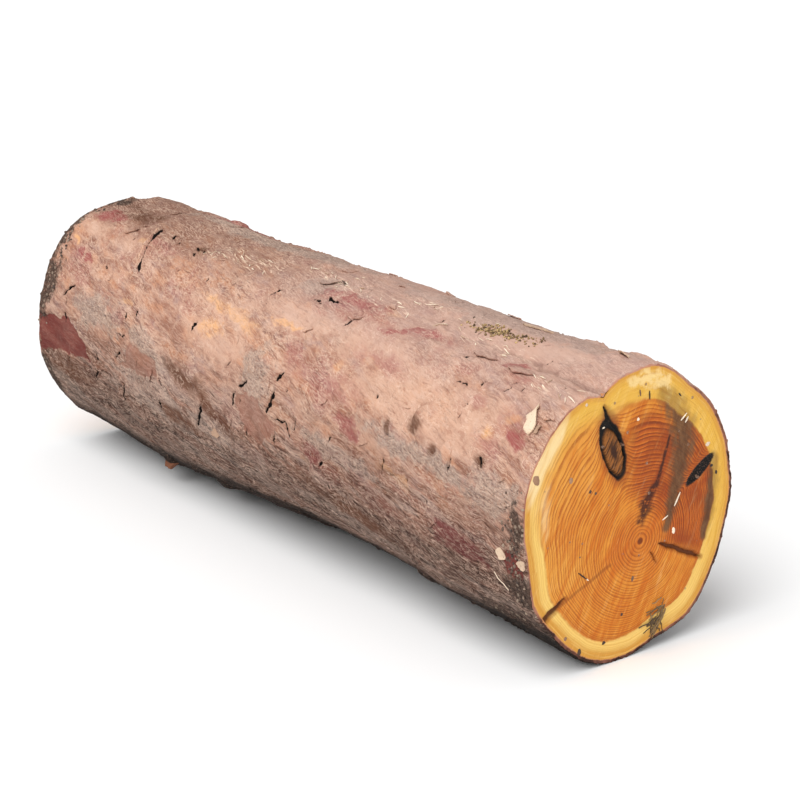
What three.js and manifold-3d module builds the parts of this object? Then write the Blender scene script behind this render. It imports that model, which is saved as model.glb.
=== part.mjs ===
// A yew log: one length of trunk with its bark on, sawn square at both ends and lying on its side.
// Millimetres, +Z up. X runs along the trunk and the ground is Z = 0. The origin is on the ground,
// under the middle of the log. At the +X end the bark folds into a cleft above an old branch knot.
import * as THREE from "three";
import { mergeVertices } from "three/addons/utils/BufferGeometryUtils.js";
import Module from "manifold-3d";

const wasm = await Module();
wasm.setup();

// Driving dimensions
const LENGTH = 655;
const MEAN_RADIUS = 101.5;
const CLEFT_END = LENGTH / 2;
const PLAIN_END = -LENGTH / 2;
// Height of the trunk's middle line above the ground, where it lies
const MIDDLE_HEIGHT = { cleftEnd: 106.5, plainEnd: 111.4 };

// How finely the bark is divided
const STATIONS = 46;
const COLUMNS = 88;

// Swellings and hollows of the trunk, from its flutes, old branches and roots. Angles are in degrees
// round the trunk, from +Y at 0 over the top at 90. Reach is along the trunk, spread is in degrees.
const SWELLINGS = [
  { form: "crown beside the cleft", x: CLEFT_END, angle: 79, height: 10, reach: 90, spread: 17 },
  { form: "shoulder beside the cleft", x: CLEFT_END, angle: 126, height: 6.5, reach: 260, spread: 17 },
  { form: "flute", x: CLEFT_END, angle: 154, height: 4.5, reach: 220, spread: 11 },
  { form: "flat side", x: CLEFT_END, angle: 186, height: -4.5, reach: 300, spread: 16 },
  { form: "heel under the cleft end", x: CLEFT_END, angle: -97, height: 7.5, reach: 260, spread: 16 },
  { form: "keel", x: CLEFT_END, angle: -57, height: 6, reach: 400, spread: 17 },
  { form: "flat back", x: CLEFT_END, angle: 14, height: -2.5, reach: 400, spread: 19 },
  { form: "bulge behind the heel", x: 300, angle: -112, height: 3.5, reach: 40, spread: 20 },
  { form: "waist", x: 95, angle: -118, height: -7, reach: 95, spread: 30 },
  { form: "back of the trunk", x: 75, angle: 62, height: 2.5, reach: 150, spread: 35 },
  { form: "belly", x: -190, angle: -118, height: 6, reach: 90, spread: 30 },
  { form: "foot", x: -200, angle: -78, height: 11, reach: 210, spread: 26 },
  { form: "shoulder at the plain end", x: PLAIN_END, angle: 128, height: 7.5, reach: 110, spread: 25 },
  { form: "crown at the plain end", x: PLAIN_END, angle: 62, height: 1.5, reach: 110, spread: 30 },
];

// The furrow where the bark folds in, deepest at the sawn end
const CLEFT = { x: CLEFT_END, angle: 107, height: -5, reach: 150, spread: 4 };
// A crease of bark that stands up across the trunk
const CREASE = { from: [-226, 109], to: [-196, 137], height: 2.6, halfWidth: 9 };

// Relief of the bark: soft lumps, and thin plates that lie a little higher or lower than their neighbours
const LUMPS = { height: 1.6, length: 75, round: 9, seed: 11 };
const PLATES = { step: 2.6, length: 40, round: 16, seed: 29 };

// Plates of bark that lift at one edge. The chip by the cleft is placed, the rest follow a spiral.
// Each takes its sizes from these times a random part, within the range given.
const CHIP = { x: 306, angle: 132, length: 24, width: 15, lift: 4.2, turn: 70 };
const FLAKES = { count: 26, margin: 45, length: 34, width: 21, lift: 3, stray: 20, seed: 53 };
const FLAKE_SIZES = [0.7, 1.3];
const FLAKE_EDGE = [0.75, 1.15];
const FLAKE_DEPTH = 6;
const FLAKE_SIDES = 8;
const GOLDEN_ANGLE = 137.508;

// The torn stump of a twig, low on the side
const STUB = { x: -174, angle: -125, root: 9, tip: 5, length: 7, sunk: 8, flat: 0.7, sides: 8 };

// Knots and drying checks in the sawn face at the cleft end, given by Y and Z on that face.
// A knot's angle is that of its long side, from +Y.
const KNOTS = [
  { y: -18, z: 160.5, length: 48, width: 20, angle: 110.7, depth: 6, plug: 0.62, plugHeight: 4 },
  { y: 66.5, z: 127.4, length: 30, width: 9, angle: 35.4, depth: 4 },
];
const CHECKS = [
  { inner: [-42, 71], outer: [-79, 48], width: 3.6, depth: 4 },
  { inner: [32, 80], outer: [73, 59], width: 3, depth: 3 },
];
const KNOT_SIDES = 20;
const BREAK_OUT = 4; // how far a cutting solid reaches out of the face it cuts
const WELD = 1e-4; // points nearer than this are one point

const BARK = new THREE.MeshStandardMaterial({
  name: "bark",
  color: 0x9a745f,
  roughness: 0.9,
  metalness: 0,
});

const rad = THREE.MathUtils.degToRad;
const bell = (t) => Math.exp(-t * t);
const within = ([least, most], t) => THREE.MathUtils.lerp(least, most, t);

// An angle difference brought to -180 .. 180 degrees
const turnBetween = (a, b) => THREE.MathUtils.euclideanModulo(a - b + 180, 360) - 180;

// A repeatable random number from 0 to 1 for a cell of a lattice
function cellRandom(i, j, seed) {
  let h = Math.imul(i, 374761393) ^ Math.imul(j, 668265263) ^ Math.imul(seed, 2246822519);
  h = Math.imul(h ^ (h >>> 13), 1274126177);
  h = Math.imul(h ^ (h >>> 15), 2246822519);
  return ((h ^ (h >>> 16)) >>> 0) / 2 ** 32;
}

// Smooth noise from -1 to 1 on the unrolled bark, closed round the trunk
function lumps(x, angle, { length, round, seed }) {
  const u = x / length;
  const v = (THREE.MathUtils.euclideanModulo(angle, 360) / 360) * round;
  const [i, j] = [Math.floor(u), Math.floor(v)];
  const [s, t] = [THREE.MathUtils.smootherstep(u - i, 0, 1), THREE.MathUtils.smootherstep(v - j, 0, 1)];
  const at = (di, dj) => cellRandom(i + di, (j + dj) % round, seed) * 2 - 1;
  const low = THREE.MathUtils.lerp(at(0, 0), at(1, 0), s);
  const high = THREE.MathUtils.lerp(at(0, 1), at(1, 1), s);
  return THREE.MathUtils.lerp(low, high, t);
}

// Height from -0.5 to 0.5 of the bark plate at a point: the nearest centre of a jittered lattice
function plateHeight(x, angle, { length, round, seed }) {
  const u = x / length;
  const v = (THREE.MathUtils.euclideanModulo(angle, 360) / 360) * round;
  let nearest = Infinity;
  let height = 0;
  for (let i = Math.floor(u) - 1; i <= Math.floor(u) + 1; i++) {
    for (let j = Math.floor(v) - 1; j <= Math.floor(v) + 1; j++) {
      const column = THREE.MathUtils.euclideanModulo(j, round);
      const du = i + cellRandom(i, column, seed) - u;
      const dv = j + cellRandom(i, column, seed + 1) - v;
      const distance = Math.hypot(du, dv);
      if (distance < nearest) {
        nearest = distance;
        height = cellRandom(i, column, seed + 2) - 0.5;
      }
    }
  }
  return height;
}

// Distance on the unrolled bark from a point to a line between two points, each [x, angle]
function distanceToLine(x, angle, from, to) {
  const unrolled = ([px, pa]) => new THREE.Vector3(px, rad(pa) * MEAN_RADIUS, 0);
  const line = new THREE.Line3(unrolled(from), unrolled(to));
  const point = new THREE.Vector3(x, rad(angle) * MEAN_RADIUS, 0);
  return line.closestPointToPoint(point, true, new THREE.Vector3()).distanceTo(point);
}

// Radius of the bark at a station along the trunk and an angle round it
function barkRadius(x, angle) {
  let radius = MEAN_RADIUS;
  for (const s of [...SWELLINGS, CLEFT]) {
    radius += s.height * bell((x - s.x) / s.reach) * bell(turnBetween(angle, s.angle) / s.spread);
  }
  const whole = THREE.MathUtils.euclideanModulo(angle, 360);
  radius += CREASE.height * bell(distanceToLine(x, whole, CREASE.from, CREASE.to) / CREASE.halfWidth);
  return radius + LUMPS.height * lumps(x, angle, LUMPS) + PLATES.step * plateHeight(x, angle, PLATES);
}

// A point on the bark, or that far above it. Nothing lies below the ground, so there the log is flat.
function barkPoint(x, angle, above = 0) {
  const along = (CLEFT_END - x) / LENGTH;
  const height = THREE.MathUtils.lerp(MIDDLE_HEIGHT.cleftEnd, MIDDLE_HEIGHT.plainEnd, along);
  const radius = barkRadius(x, angle) + above;
  const z = height + radius * Math.sin(rad(angle));
  return new THREE.Vector3(x, radius * Math.cos(rad(angle)), Math.max(z, 0));
}

// The trunk as a closed tube of bark with a flat sawn face at each end
function trunkGeometry() {
  const points = [];
  const triangles = [];
  const at = (i, j) => i * COLUMNS + (j % COLUMNS);
  for (let i = 0; i <= STATIONS; i++) {
    const x = THREE.MathUtils.lerp(PLAIN_END, CLEFT_END, i / STATIONS);
    for (let j = 0; j < COLUMNS; j++) points.push(barkPoint(x, (j / COLUMNS) * 360));
  }
  for (let i = 0; i < STATIONS; i++) {
    for (let j = 0; j < COLUMNS; j++) {
      const corners = [at(i, j), at(i, j + 1), at(i + 1, j + 1), at(i + 1, j)];
      if ((i + j) % 2) corners.push(corners.shift());
      const [a, b, c, d] = corners;
      triangles.push(a, b, d, b, c, d);
    }
  }
  const plainMiddle = points.push(new THREE.Vector3(PLAIN_END, 0, MIDDLE_HEIGHT.plainEnd)) - 1;
  const cleftMiddle = points.push(new THREE.Vector3(CLEFT_END, 0, MIDDLE_HEIGHT.cleftEnd)) - 1;
  for (let j = 0; j < COLUMNS; j++) {
    triangles.push(plainMiddle, at(0, j + 1), at(0, j));
    triangles.push(cleftMiddle, at(STATIONS, j), at(STATIONS, j + 1));
  }
  return new THREE.BufferGeometry().setFromPoints(points).setIndex(triangles);
}

// A frame on the bark: its X across the trunk, its Y along it, its Z straight out
function barkFrame(x, angle, above) {
  const out = new THREE.Vector3(0, Math.cos(rad(angle)), Math.sin(rad(angle)));
  const along = new THREE.Vector3(1, 0, 0);
  const across = new THREE.Vector3().crossVectors(along, out);
  const place = barkPoint(x, angle, above);
  return new THREE.Matrix4().makeBasis(across, along, out).setPosition(place);
}

// A thin plate of bark with a ragged outline, sunk at its root and lifted at its free edge
function flakeGeometry({ x, angle, length, width, lift, turn }, seed) {
  const outline = new THREE.Shape();
  for (let k = 0; k < FLAKE_SIDES; k++) {
    const a = (k / FLAKE_SIDES) * Math.PI * 2;
    const ragged = within(FLAKE_EDGE, cellRandom(k, 0, seed));
    const [px, py] = [(Math.cos(a) * ragged * width) / 2, (Math.sin(a) * ragged * length) / 2];
    if (k) outline.lineTo(px, py);
    else outline.moveTo(px, py);
  }
  outline.closePath();
  const geometry = new THREE.ExtrudeGeometry(outline, { depth: FLAKE_DEPTH, bevelEnabled: false });
  geometry.translate(0, 0, lift / 2 - FLAKE_DEPTH);
  geometry.rotateX(Math.atan2(lift, length));
  geometry.rotateZ(rad(turn));
  return geometry.applyMatrix4(barkFrame(x, angle, 0));
}

// Flakes spread over the whole trunk on a spiral, each a little different
function spiralFlakes() {
  const span = [PLAIN_END + FLAKES.margin, CLEFT_END - FLAKES.margin];
  return Array.from({ length: FLAKES.count }, (_, k) => {
    const draw = (n) => cellRandom(k, n, FLAKES.seed);
    const flake = {
      x: within(span, (k + draw(0)) / FLAKES.count),
      angle: k * GOLDEN_ANGLE + FLAKES.stray * draw(1),
      length: FLAKES.length * within(FLAKE_SIZES, draw(2)),
      width: FLAKES.width * within(FLAKE_SIZES, draw(3)),
      lift: FLAKES.lift * within(FLAKE_SIZES, draw(4)),
      turn: 360 * draw(5),
    };
    return flakeGeometry(flake, FLAKES.seed + k);
  }).filter((geometry) => {
    geometry.computeBoundingBox();
    return geometry.boundingBox.min.z > 0;
  });
}

// The stump of the twig, an oval taper standing straight out of the bark
function stubGeometry() {
  const height = STUB.length + STUB.sunk;
  const geometry = new THREE.CylinderGeometry(STUB.tip, STUB.root, height, STUB.sides);
  geometry.rotateX(Math.PI / 2);
  geometry.scale(STUB.flat, 1, 1);
  geometry.translate(0, 0, height / 2 - STUB.sunk);
  return geometry.applyMatrix4(barkFrame(STUB.x, STUB.angle, 0));
}

// An oval prism in the sawn face, from a depth below it to a height relative to it
function facePrism({ y, z, length, width, angle }, bottom, top) {
  const oval = new THREE.Shape().absellipse(y, z, length / 2, width / 2, 0, Math.PI * 2, false, rad(angle));
  const options = { depth: top - bottom, bevelEnabled: false, curveSegments: KNOT_SIDES };
  const geometry = new THREE.ExtrudeGeometry(oval, options);
  // The outline was drawn in X and Y: turn it so that it lies in Y and Z and is pushed along X
  const turned = new THREE.Matrix4().makeBasis(
    new THREE.Vector3(0, 1, 0),
    new THREE.Vector3(0, 0, 1),
    new THREE.Vector3(1, 0, 0),
  );
  return geometry.applyMatrix4(turned).translate(CLEFT_END + bottom, 0, 0);
}

// A drying check: a slot with pointed ends that runs out from the pith
function checkPrism({ inner, outer, width, depth }) {
  const [dy, dz] = [outer[0] - inner[0], outer[1] - inner[1]];
  const oval = {
    y: (inner[0] + outer[0]) / 2,
    z: (inner[1] + outer[1]) / 2,
    length: Math.hypot(dy, dz),
    width,
    angle: THREE.MathUtils.radToDeg(Math.atan2(dz, dy)),
  };
  return facePrism(oval, -depth, BREAK_OUT);
}

// Solids for the joins and cuts
function solidOf(geometry) {
  const bare = geometry.clone().deleteAttribute("normal").deleteAttribute("uv");
  const merged = mergeVertices(bare, WELD);
  return new wasm.Manifold(
    new wasm.Mesh({
      numProp: 3,
      vertProperties: new Float32Array(merged.attributes.position.array),
      triVerts: new Uint32Array(merged.index.array),
    }),
  );
}

function geometryOf(solid) {
  const mesh = solid.getMesh();
  const geometry = new THREE.BufferGeometry();
  geometry.setAttribute("position", new THREE.BufferAttribute(mesh.vertProperties, 3));
  geometry.setIndex(new THREE.BufferAttribute(mesh.triVerts, 1));
  return geometry;
}

function logGeometry() {
  let log = solidOf(trunkGeometry());
  for (const raised of [flakeGeometry(CHIP, FLAKES.seed), ...spiralFlakes(), stubGeometry()]) {
    log = log.add(solidOf(raised));
  }
  for (const knot of KNOTS) {
    log = log.subtract(solidOf(facePrism(knot, -knot.depth, BREAK_OUT)));
    if (!knot.plug) continue;
    const plug = { ...knot, length: knot.length * knot.plug, width: knot.width * knot.plug };
    log = log.add(solidOf(facePrism(plug, -knot.depth - BREAK_OUT, knot.plugHeight - knot.depth)));
  }
  for (const check of CHECKS) log = log.subtract(solidOf(checkPrism(check)));
  return geometryOf(log);
}

// The origin goes on the ground under the middle of the log
function centredOnGround(geometry) {
  geometry.computeBoundingBox();
  const middle = geometry.boundingBox.getCenter(new THREE.Vector3());
  return geometry.translate(-middle.x, -middle.y, -geometry.boundingBox.min.z);
}

const geometry = centredOnGround(logGeometry());
geometry.computeVertexNormals();

const log = new THREE.Mesh(geometry, BARK);
log.name = "log";

const part = new THREE.Group();
part.name = "wood_log";
part.add(log);

export default part;
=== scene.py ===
"""The looks of a yew log that lies on its side: its bark, its sawn faces and what has settled on them.

Sizes are in millimetres, and angles in degrees round the trunk, from +Y at 0 over the top at 90. A place on
the bark is its X along the trunk and its angle. A place on a sawn face is its Y and Z.
"""
import math

import bmesh
import bpy
import numpy as np
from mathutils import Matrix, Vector
from mathutils.bvhtree import BVHTree


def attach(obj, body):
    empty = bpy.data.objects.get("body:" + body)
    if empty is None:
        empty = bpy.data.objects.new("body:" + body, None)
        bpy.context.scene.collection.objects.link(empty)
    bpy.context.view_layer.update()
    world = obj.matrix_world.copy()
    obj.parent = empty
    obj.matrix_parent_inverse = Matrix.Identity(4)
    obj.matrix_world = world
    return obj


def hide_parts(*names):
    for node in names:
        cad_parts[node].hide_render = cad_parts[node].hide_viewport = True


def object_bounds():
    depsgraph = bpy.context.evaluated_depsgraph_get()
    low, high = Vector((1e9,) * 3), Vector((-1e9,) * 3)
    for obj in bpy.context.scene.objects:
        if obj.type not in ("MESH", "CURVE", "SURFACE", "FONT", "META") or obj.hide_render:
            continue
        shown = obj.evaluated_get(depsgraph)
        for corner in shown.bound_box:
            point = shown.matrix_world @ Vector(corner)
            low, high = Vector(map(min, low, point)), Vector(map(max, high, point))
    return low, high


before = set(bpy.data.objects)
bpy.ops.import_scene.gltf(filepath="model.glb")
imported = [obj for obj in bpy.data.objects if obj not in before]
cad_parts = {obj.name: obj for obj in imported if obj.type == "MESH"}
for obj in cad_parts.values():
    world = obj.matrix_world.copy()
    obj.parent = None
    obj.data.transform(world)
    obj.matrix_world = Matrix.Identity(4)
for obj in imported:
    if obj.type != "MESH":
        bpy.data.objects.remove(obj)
cad_low, cad_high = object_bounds()

MM = 0.001
HALF = cad_high.x / MM
MEAN_RADIUS = 101.5
MIDDLE_HEIGHT = {"cleft": 106.5, "plain": 111.4}
BARK_THICKNESS = 3.2
LEAST_BARK = 0.8
EDGE_THINNING, EDGE_REACH = 0.45, 6.0  # share lost at the lit sawn edges, and from how far in

# The bark's grid: its rows run round the trunk, and its columns are shared out to strips that each start at
# an edge out of sight. The hidden inside of a strip has one row or column for each COARSE of the outside's.
ROWS = 560
STRIPS = 3
STRIP_COLUMNS = 168
COLUMNS = STRIPS * STRIP_COLUMNS
FIRST_ANGLE = 40.0
COARSE = 8

GRAIN_TURN = 14.0  # slope of the spiral grain on the bark, in degrees


# Numbers that repeat

def draws(seed):
    return np.random.default_rng(seed)


def turn_between(a, b):
    """An angle difference brought to -180 .. 180 degrees."""
    return (a - b + 180) % 360 - 180


def step(value, low, high):
    """0 below low, 1 above high, and smooth between."""
    t = np.clip((value - low) / (high - low), 0, 1)
    return t * t * (3 - 2 * t)


def bell(t):
    return np.exp(-t * t)


CELLS = 256  # cells of a noise along the trunk before it repeats


def cell_of(x, angle, length, around):
    u, v = x / length + CELLS / 2, angle / 360 * around
    u, v = np.broadcast_arrays(u, v)
    i, j = np.floor(u).astype(int), np.floor(v).astype(int)
    return i, j, u - i, v - j


def noise(x, angle, length, around, seed):
    """Smooth noise from about -1 to 1 on the bark: cells of that length, that many round the trunk."""
    turns = draws(seed).uniform(0, 2 * np.pi, (CELLS, around))
    i, j, s, t = cell_of(x, angle, length, around)

    def corner(di, dj):
        a = turns[(i + di) % CELLS, (j + dj) % around]
        return np.cos(a) * (s - di) + np.sin(a) * (t - dj)

    fade_s, fade_t = (w * w * w * (w * (w * 6 - 15) + 10) for w in (s, t))
    low = corner(0, 0) + fade_s * (corner(1, 0) - corner(0, 0))
    high = corner(0, 1) + fade_s * (corner(1, 1) - corner(0, 1))
    return 1.5 * (low + fade_t * (high - low))


def layered(x, angle, length, around, seed, count=3):
    """Noise with finer and weaker noise on it."""
    return sum(noise(x, angle, length / 2**k, around * 2**k, seed + k) / 2**k for k in range(count))


def plates(x, angle, length, around, seed):
    """The bark split into plates: how far inside its plate a point is, and a random number for the plate."""
    across, along, value = draws(seed).random((3, CELLS, around))
    i, j, s, t = cell_of(x, angle, length, around)
    first, second, own = np.full(s.shape, 9.0), np.full(s.shape, 9.0), np.zeros(s.shape)
    for di in (-1, 0, 1):
        for dj in (-1, 0, 1):
            a, b = (i + di) % CELLS, (j + dj) % around
            distance = np.hypot(di + across[a, b] - s, dj + along[a, b] - t)
            nearer = distance < first
            second = np.where(nearer, first, np.minimum(second, distance))
            own = np.where(nearer, value[a, b], own)
            first = np.where(nearer, distance, first)
    return second - first, own


# The trunk's form, from the frame

CAD_ROWS, CAD_COLUMNS = 220, 216
CAD_EDGE = 0.6  # how far inside the sawn faces the end rows are measured
OUTSIDE = 0.2  # metres from the middle line to where the measuring rays start
SPIKE = 3.0  # what stands further out than this is a piece of its own


def middle_height(x):
    share = (HALF - x) / (2 * HALF)
    return MIDDLE_HEIGHT["cleft"] + share * (MIDDLE_HEIGHT["plain"] - MIDDLE_HEIGHT["cleft"])


def blurred(grid, reach):
    """A grid of the trunk smoothed along it and round it, over that many cells."""
    offsets = np.arange(-3 * reach, 3 * reach + 1).astype(int)
    weights = bell(offsets / reach)
    weights = weights / weights.sum()
    rows = np.arange(len(grid))
    along = sum(w * grid[np.clip(rows + k, 0, len(grid) - 1)] for w, k in zip(weights, offsets))
    return sum(w * np.roll(along, k, axis=1) for w, k in zip(weights, offsets))


def cad_radii():
    """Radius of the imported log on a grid, measured from outside."""
    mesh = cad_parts["log"].data
    tree = BVHTree.FromPolygons([v.co for v in mesh.vertices], [p.vertices for p in mesh.polygons])
    grid = np.zeros((CAD_ROWS, CAD_COLUMNS))
    for i, x in enumerate(np.linspace(-HALF + CAD_EDGE, HALF - CAD_EDGE, CAD_ROWS)):
        middle = middle_height(x) * MM
        for j in range(CAD_COLUMNS):
            turn = 2 * math.pi * j / CAD_COLUMNS
            c, s = math.cos(turn), math.sin(turn)
            start = (x * MM, OUTSIDE * c, middle + OUTSIDE * s)
            hit = tree.ray_cast(start, (0, -c, -s), OUTSIDE)
            grid[i, j] = (OUTSIDE - hit[3]) / MM
    return grid


def read_grid(grid, x, angle):
    """A value between the cells of a grid of the trunk whose first column is at angle 0."""
    u = np.clip((x + HALF) / (2 * HALF), 0, 1) * (len(grid) - 1)
    v = angle / 360 * grid.shape[1]
    u, v = np.broadcast_arrays(u, v)
    i, j = np.minimum(np.floor(u).astype(int), len(grid) - 2), np.floor(v).astype(int)
    s, t = u - i, v - j
    left, right = j % grid.shape[1], (j + 1) % grid.shape[1]
    low = grid[i, left] * (1 - s) + grid[i + 1, left] * s
    high = grid[i, right] * (1 - s) + grid[i + 1, right] * s
    return low * (1 - t) + high * t


def smooth_form():
    """The trunk's form without its facets, and its lifted flakes alone."""
    radii = cad_radii()
    for _ in range(2):
        around = blurred(radii, 5)
        radii = around + np.clip(radii - around, -SPIKE, SPIKE)
    form = blurred(radii, 1.5)
    return form, np.clip(radii - blurred(radii, 4), 0, SPIKE)


# Marks on the bark. A patch is its X, angle, half length, half width and turn, a peeled place its corners,
# and a crack its two ends and half width.

PEELED = [  # places where the outer bark has come away from the smooth inner bark
    [(-326, 172), (-280, 169), (-264, 172), (-246, 180), (-238, 186), (-266, 186), (-282, 187), (-325, 191)],
    [(-176, 168), (-166, 167), (-134, 170), (-132, 175), (-138, 179), (-164, 180), (-196, 181), (-182, 176)],
    [(-14, 167), (-2, 166), (22, 171), (40, 175), (38, 179), (20, 186), (0, 185), (-12, 175)],
    [(306, 184), (319, 183), (323, 188), (321, 195), (309, 196), (304, 191)],
    [(58, 20), (74, 14), (98, 17), (118, 13), (124, 22), (106, 31), (92, 28), (66, 33)],
    [(-236, -16), (-214, -24), (-188, -22), (-160, -29), (-148, -20), (-166, -12), (-196, -13), (-212, -5)],
    [(176, -46), (200, -52), (236, -49), (262, -56), (270, -46), (240, -38), (206, -41)],
    [(-84, 54), (-62, 49), (-44, 52), (-26, 47), (-20, 55), (-40, 61), (-58, 58), (-74, 63)],
]
PATCHES = {
    "crimson": [
        (298, 141, 13, 8, 10), (128, 161.5, 17, 9, 10), (88, 179.5, 19, 10, 10), (56, 107, 40, 9, 0),
        (138, 113, 34, 5, -18), (248, 110, 15, 4, -8), (256, 191, 38, 8, 8), (250, 187, 20, 4, 10),
        (-290, 112, 24, 11, 0), (-286, 136, 8, 4, 30), (-271, 138, 7, 4, 0), (60, 10, 50, 14, 10),
        (-200, 70, 50, 12, 0),
    ],
    "rose": [
        (90, 149, 48, 16, 5), (216, 122, 16, 7, -20), (-280, 142, 26, 13, 30), (30, 120, 14, 7, 0),
        (160, 188, 48, 11, 24), (-34, 181, 30, 10, 0), (2, 195, 34, 9, 4), (-198, 118, 22, 6, 4),
        (-120, -40, 70, 22, 0), (130, 133, 40, 9, 4), (262, 188, 40, 12, 8), (-200, 158, 18, 8, 0),
        (108, 186, 28, 10, 10), (262, 118, 30, 8, 0), (40, 142, 14, 8, 20), (62, 112, 64, 13, 0),
        (150, 112, 40, 9, -10), (280, 147, 20, 8, 15), (250, 133, 8, 5, 0), (296, 138, 20, 15, 0),
    ],
    "orange": [
        (-62, 135.5, 62, 6.5, 7), (8, 131.5, 34, 2.5, -3), (-70, 146, 20, 10, 0), (-224, 121, 6, 4, 0),
        (-192, 149, 9, 3, 0), (96, 140, 6, 5, 0), (120, 134, 7, 5, 0), (97, 106, 15, 6, 0),
        (272, 142, 7, 5, 0), (290, 134, 8, 4, 0), (80, 185, 16, 5, 20), (186, 173, 24, 6, 10),
        (-222, 200, 7, 4, 0), (-304, 131, 12, 3, 20), (40, 40, 50, 8, 10), (-160, 20, 40, 8, 0),
        (180, -30, 40, 8, 0),
    ],
    "tan": [
        (176, 141, 90, 30, 4), (-60, 150, 60, 16, 6), (20, 128, 70, 16, 0), (240, 144, 60, 26, 0),
        (-236, 124, 30, 10, 0), (-30, 30, 90, 30, 0), (110, 128, 60, 20, 0), (230, 96, 90, 16, 0),
        (-288, 122, 24, 11, 0), (152, 163, 30, 9, 10), (-64, 136, 52, 12, 7),
    ],
    "grey": [
        (4, 158, 26, 22, 40), (-150, 186, 52, 20, 8), (4, 106, 24, 14, -30), (-230, 160, 40, 16, 0),
        (-156, 165, 40, 10, 20), (-40, 192, 60, 12, 10), (210, 161, 70, 9, 4), (290, 165, 30, 16, 0),
        (180, 80, 120, 22, 0), (-120, 80, 120, 18, 0), (-200, -30, 80, 26, 0), (200, -70, 80, 26, 0),
        (120, 176, 60, 8, 6),
    ],
    "pale": [  # torn bark along the top
        (-92, 106, 44, 10, 2), (-10, 97, 32, 7, 6), (70, 102, 60, 8, 4), (205, 104, 60, 7, 0),
        (300, 116, 30, 10, 0), (100, 92, 90, 7, 0), (-140, 112, 16, 5, 0),
    ],
    "shade": [  # browner places and the small grey scars of buds
        (-266, 104, 30, 15, 0), (-300, 98, 24, 10, 0), (-40, 183, 40, 11, 20), (-284, 197, 44, 13, 0),
        (120, 201, 70, 11, 10), (-100, 194, 40, 8, 10), (-88, 172, 36, 9, 10), (204, 151, 9, 7, 20),
        (277, 154, 7, 6, 10), (174, 156, 6, 6, 0), (227, 157, 5, 5, 0), (-157, 111, 10, 6, 0),
        (-100, -10, 60, 18, 0), (140, -20, 70, 16, 0),
    ],
    "dark": [  # damp, mossy places
        (321, 173, 10, 12, 0), (317, 202, 14, 11, 0), (-324, 155, 17, 28, 0), (-328, 128, 9, 40, 0),
        (-327, 99, 15, 12, 0), (300, -120, 60, 40, 0), (-326, 210, 10, 30, 0),
    ],
}
PALE_LIMIT = 0.6
CRACKS = [
    ((-278, 152), (-292, 159), 0.9), ((-284, 160), (-284, 163), 0.6), ((-282, 167), (-282, 171), 0.9),
    ((-176, 152), (-176, 155), 0.8), ((-94, 146), (-96, 150), 1.2), ((-196, 166), (-186, 166), 0.6),
    ((-190, 174), (-196, 178), 0.6), ((-228, 180), (-224, 183), 0.6), ((-228, 189), (-234, 193), 0.8),
    ((-186, 190), (-184, 196), 0.9), ((-142, 188), (-140, 192), 0.7), ((-128, 189), (-128, 192.5), 0.8),
    ((-128, 178), (-124, 181), 0.8), ((-62, 182), (-72, 192), 1.3), ((-4, 162), (-12, 165), 0.9),
    ((-18, 168), (-20, 174), 0.8), ((34, 161), (28, 170), 1.2), ((38, 152), (34, 156), 0.8),
    ((-28, 116), (-34, 120), 1.0), ((-114, 125), (-116, 126), 0.5), ((-204, 108), (-202, 111), 0.7),
    ((-240, 138), (-236, 140), 0.5), ((-78, 111), (-80, 114), 0.6), ((40, 172), (50, 172), 0.6),
    ((54, 172), (58, 177), 1.0), ((14, 115), (26, 116), 0.7), ((26, 112), (42, 113), 1.0),
    ((72, 115), (70, 122), 0.9), ((2, 96), (20, 99), 0.7), ((176, 168), (174, 174), 0.8),
    ((248, 157), (248, 161), 1.1), ((276, 152), (280, 155), 0.7), ((278, 121), (278, 123), 0.5),
    ((218, 128), (228, 128), 0.4), ((40, 179), (38, 183), 0.7), ((64, 169), (64, 173), 0.7),
    ((-166, 109.5), (-159, 112), 0.8), ((-155, 110), (-149, 113), 0.8), ((-161, 114), (-155, 115.5), 0.6),
    ((-144, 205), (-146, 208), 0.5), ((-18, 190), (-18, 193), 0.6),
]
CRACK_COUNT, CRACK_SEED = 170, 71
CRACK_SCALE = 1.3  # how much longer and wider a crack is made than it is placed
CRACK_MARGIN = 8  # how far beyond its own length a crack is looked for
CREASE = {"x": (-226, -196), "angle": (108, 138), "height": 2.6, "half_width": 2.4}
FURROW = {"x": (60, 328), "angle": (100, 107), "depth": 2.4, "half_width": 2.5}


def arc(angle, start):
    """Millimetres round the trunk from a start to an angle."""
    return np.radians(turn_between(angle, start)) * MEAN_RADIUS


def turned(u, v, turn):
    """How far places lie along and across a direction that is turned from the first axis."""
    c, s = math.cos(math.radians(turn)), math.sin(math.radians(turn))
    return c * u + s * v, c * v - s * u


def oval(u, v, half_length, half_width, turn):
    """0 in the middle of an oval, 1 at its edge and more outside it."""
    along, across = turned(u, v, turn)
    return np.hypot(along / half_length, across / half_width)


def segment(u, v, start, end):
    """How far along a straight stretch its nearest point is, 0 to 1, and how far away that point is."""
    (u0, v0), (u1, v1) = start, end
    run, rise = u1 - u0, v1 - v0
    share = np.clip(((u - u0) * run + (v - v0) * rise) / (run**2 + rise**2), 0, 1)
    return share, np.hypot(u - u0 - share * run, v - v0 - share * rise)


def line_place(u, v, run, rise):
    """Signed distance across a line from 0, 0, and how far along it places are, 0 to 1 between its ends."""
    length = math.hypot(run, rise)
    return (u * rise - v * run) / length, (u * run + v * rise) / length**2


def slit_distance(share, across, length, half_width):
    """Distance from the edge of a slit, below 0 in it. It narrows to its ends, at shares -1 and 1."""
    past = np.abs(across) - half_width * np.sqrt(np.clip(1 - share * share, 0, 1))
    beyond = np.maximum(np.abs(share) - 1, 0) * length / 2
    return np.where(beyond > 0, np.hypot(past, beyond), past)


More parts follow.
